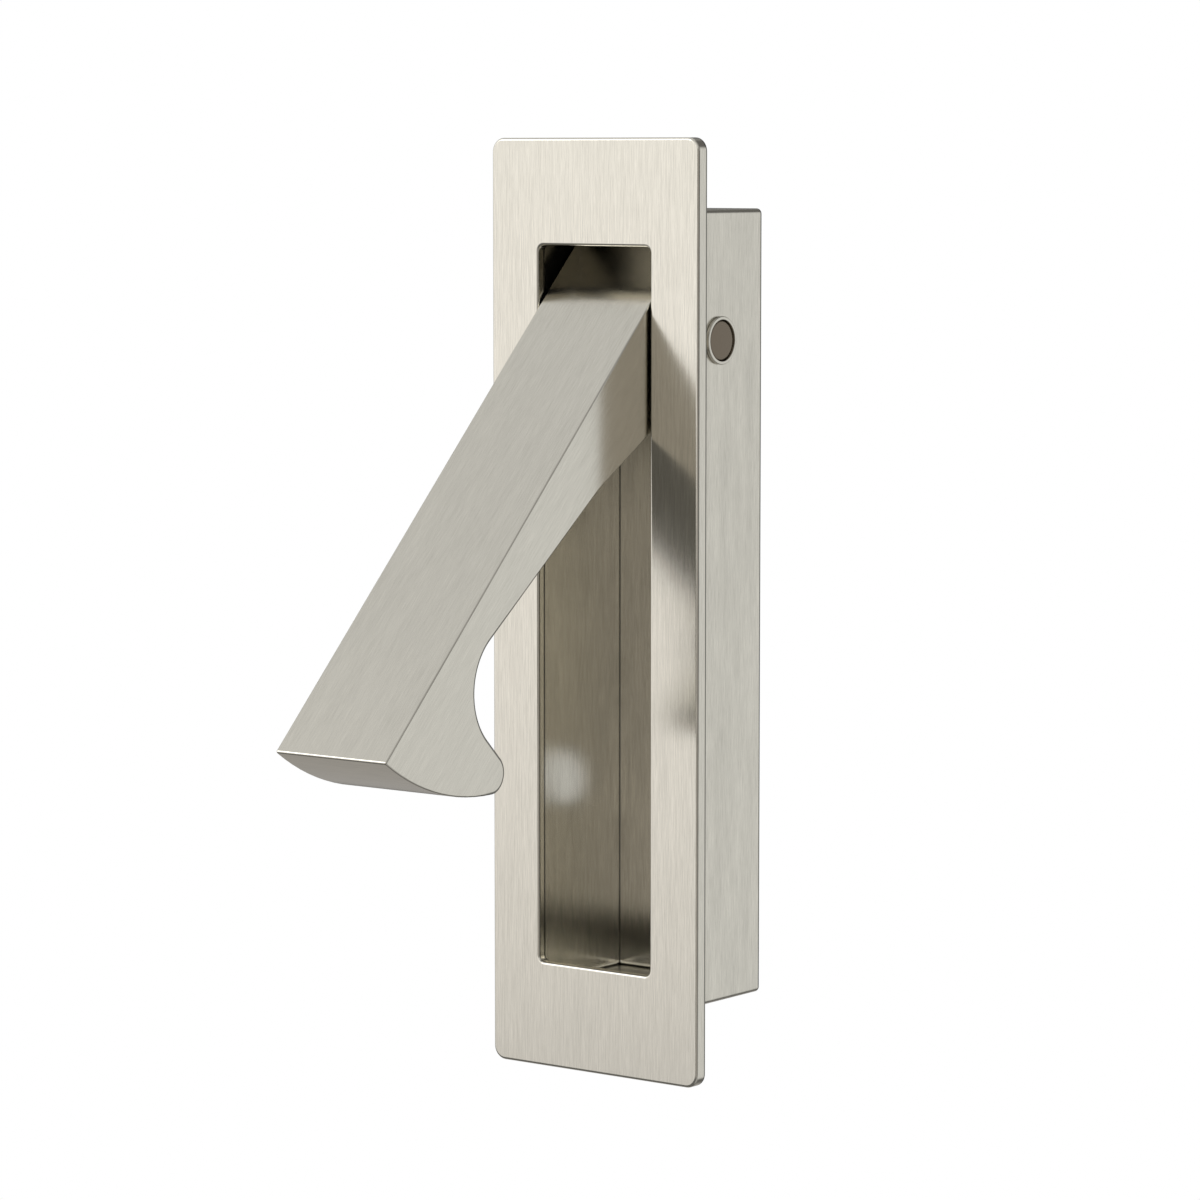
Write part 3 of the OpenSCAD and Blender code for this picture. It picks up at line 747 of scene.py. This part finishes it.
def make_room():
    """The room as the metal mirrors it: soft edged patches of light laid one over another, by direction. The camera
    itself sees plain white."""
    world = bpy.data.worlds.new("studio")
    bpy.context.scene.world = world
    tree = tree_of(world)
    place = put(tree, "ShaderNodeTexCoord").outputs["Generated"]
    up = put(tree, "ShaderNodeSeparateXYZ", Vector=place).outputs[2]
    colour = (0.15, 0.148, 0.145, 1.0)
    # Each patch's colour, the way to its middle, and the cosines where it starts and where it is whole
    for level, whom, start, end in (
        ((0.4, 0.395, 0.39, 1.0), (0.75, -0.1, 0.65), 0.75, 0.95),
        ((0.45, 0.445, 0.44, 1.0), (0.75, 0.1, -0.65), 0.75, 0.95),
        ((0.85, 0.85, 0.85, 1.0), (0.25, -0.75, 0.6), 0.82, 0.95),
        ((0.46, 0.435, 0.41, 1.0), (0.605, -0.79, -0.1), 0.88, 0.97),
        ((0.77, 0.775, 0.775, 1.0), (0.605, 0.79, -0.1), 0.84, 0.96),
        ((0.39, 0.375, 0.36, 1.0), (-0.63, 0.6, -0.5), 0.7, 0.93),
        ((0.685, 0.685, 0.685, 1.0), (-0.605, -0.1, 0.79), 0.35, 0.85),
    ):
        colour = lay_over(tree, colour, level, toward(tree, place, whom, start, end))
    ahead = toward(tree, place, (-0.605, 0.79, 0.05), 0.85, 0.95)
    level_up = put(tree, "ShaderNodeMapRange", {"interpolation_type": "SMOOTHSTEP"}, _0=up, _1=-0.35, _2=-0.2)
    dusk = put(tree, "ShaderNodeMath", {"operation": "MULTIPLY"}, _0=level_up.outputs[0], _1=ahead)
    colour = lay_over(tree, colour, (0.14, 0.138, 0.135, 1.0), dusk.outputs[0])
    height = put(tree, "ShaderNodeMapRange", _0=up, _1=-0.25, _2=0.05)
    fall = put(tree, "ShaderNodeValToRGB", Fac=height.outputs[0])
    stops = fall.color_ramp.elements
    for share, level in ((0.16, 0.79), (0.27, 0.91), (0.33, 0.94), (0.42, 1.0), (0.72, 1.09)):
        stops.new(share).color = (1.02 * level, 0.995 * level, 0.985 * level, 1.0)
    stops[0].color = (0.6, 0.6, 0.6, 1.0)
    stops[len(stops) - 1].color = (1.17, 1.165, 1.155, 1.0)
    lower_edge = put(tree, "ShaderNodeMapRange", {"interpolation_type": "SMOOTHSTEP"}, _0=up, _1=-0.4, _2=-0.22)
    patch = put(tree, "ShaderNodeMath", {"operation": "MULTIPLY"}, _0=lower_edge.outputs[0],
                _1=toward(tree, place, (-0.7, -0.71, 0.05), 0.55, 0.8))
    colour = lay_over(tree, colour, fall.outputs[0], patch.outputs[0])
    path = put(tree, "ShaderNodeLightPath")
    seen = lay_over(tree, colour, (1.0, 1.0, 1.0, 1.0), path.outputs["Is Camera Ray"])
    glow = put(tree, "ShaderNodeBackground", Color=seen, Strength=1.0)
    out = put(tree, "ShaderNodeOutputWorld")
    tree.links.new(glow.outputs[0], out.inputs["Surface"])


make_room()


def lamp(name, place, size, power):
    """A square soft lamp that faces the part."""
    data = bpy.data.lights.new(name, "AREA")
    data.shape = "SQUARE"
    data.size = size
    data.energy = power
    made = bpy.data.objects.new(name, data)
    bpy.context.scene.collection.objects.link(made)
    made.location = place
    tilt = math.atan2(math.hypot(place[0], place[1]), place[2])
    made.rotation_euler = (tilt, 0.0, math.atan2(place[1], place[0]) + math.pi / 2)
    return made


lamp("soft light", (-0.95, -1.1, 0.75), 0.7, 3.0)


# Camera
# It stands in front on the right, a little above the part's middle, where the photograph was taken from.

CAMERA_PLACE = (0.2922, -0.3817, 0.0490)
# Degrees that it looks down by, and that it is turned by about the upright axis
CAMERA_DOWN = 5.70
CAMERA_TURN = 37.46

view = bpy.data.cameras.new("camera")
view.sensor_width = 36.0
view.lens = 133.35
view.clip_start = 0.01
view.clip_end = 50.0
camera = bpy.data.objects.new("camera", view)
bpy.context.scene.collection.objects.link(camera)
camera.location = CAMERA_PLACE
camera.rotation_euler = (math.radians(90 - CAMERA_DOWN), 0.0, math.radians(CAMERA_TURN))
bpy.context.scene.camera = camera
bpy.context.scene.view_settings.view_transform = "Standard"
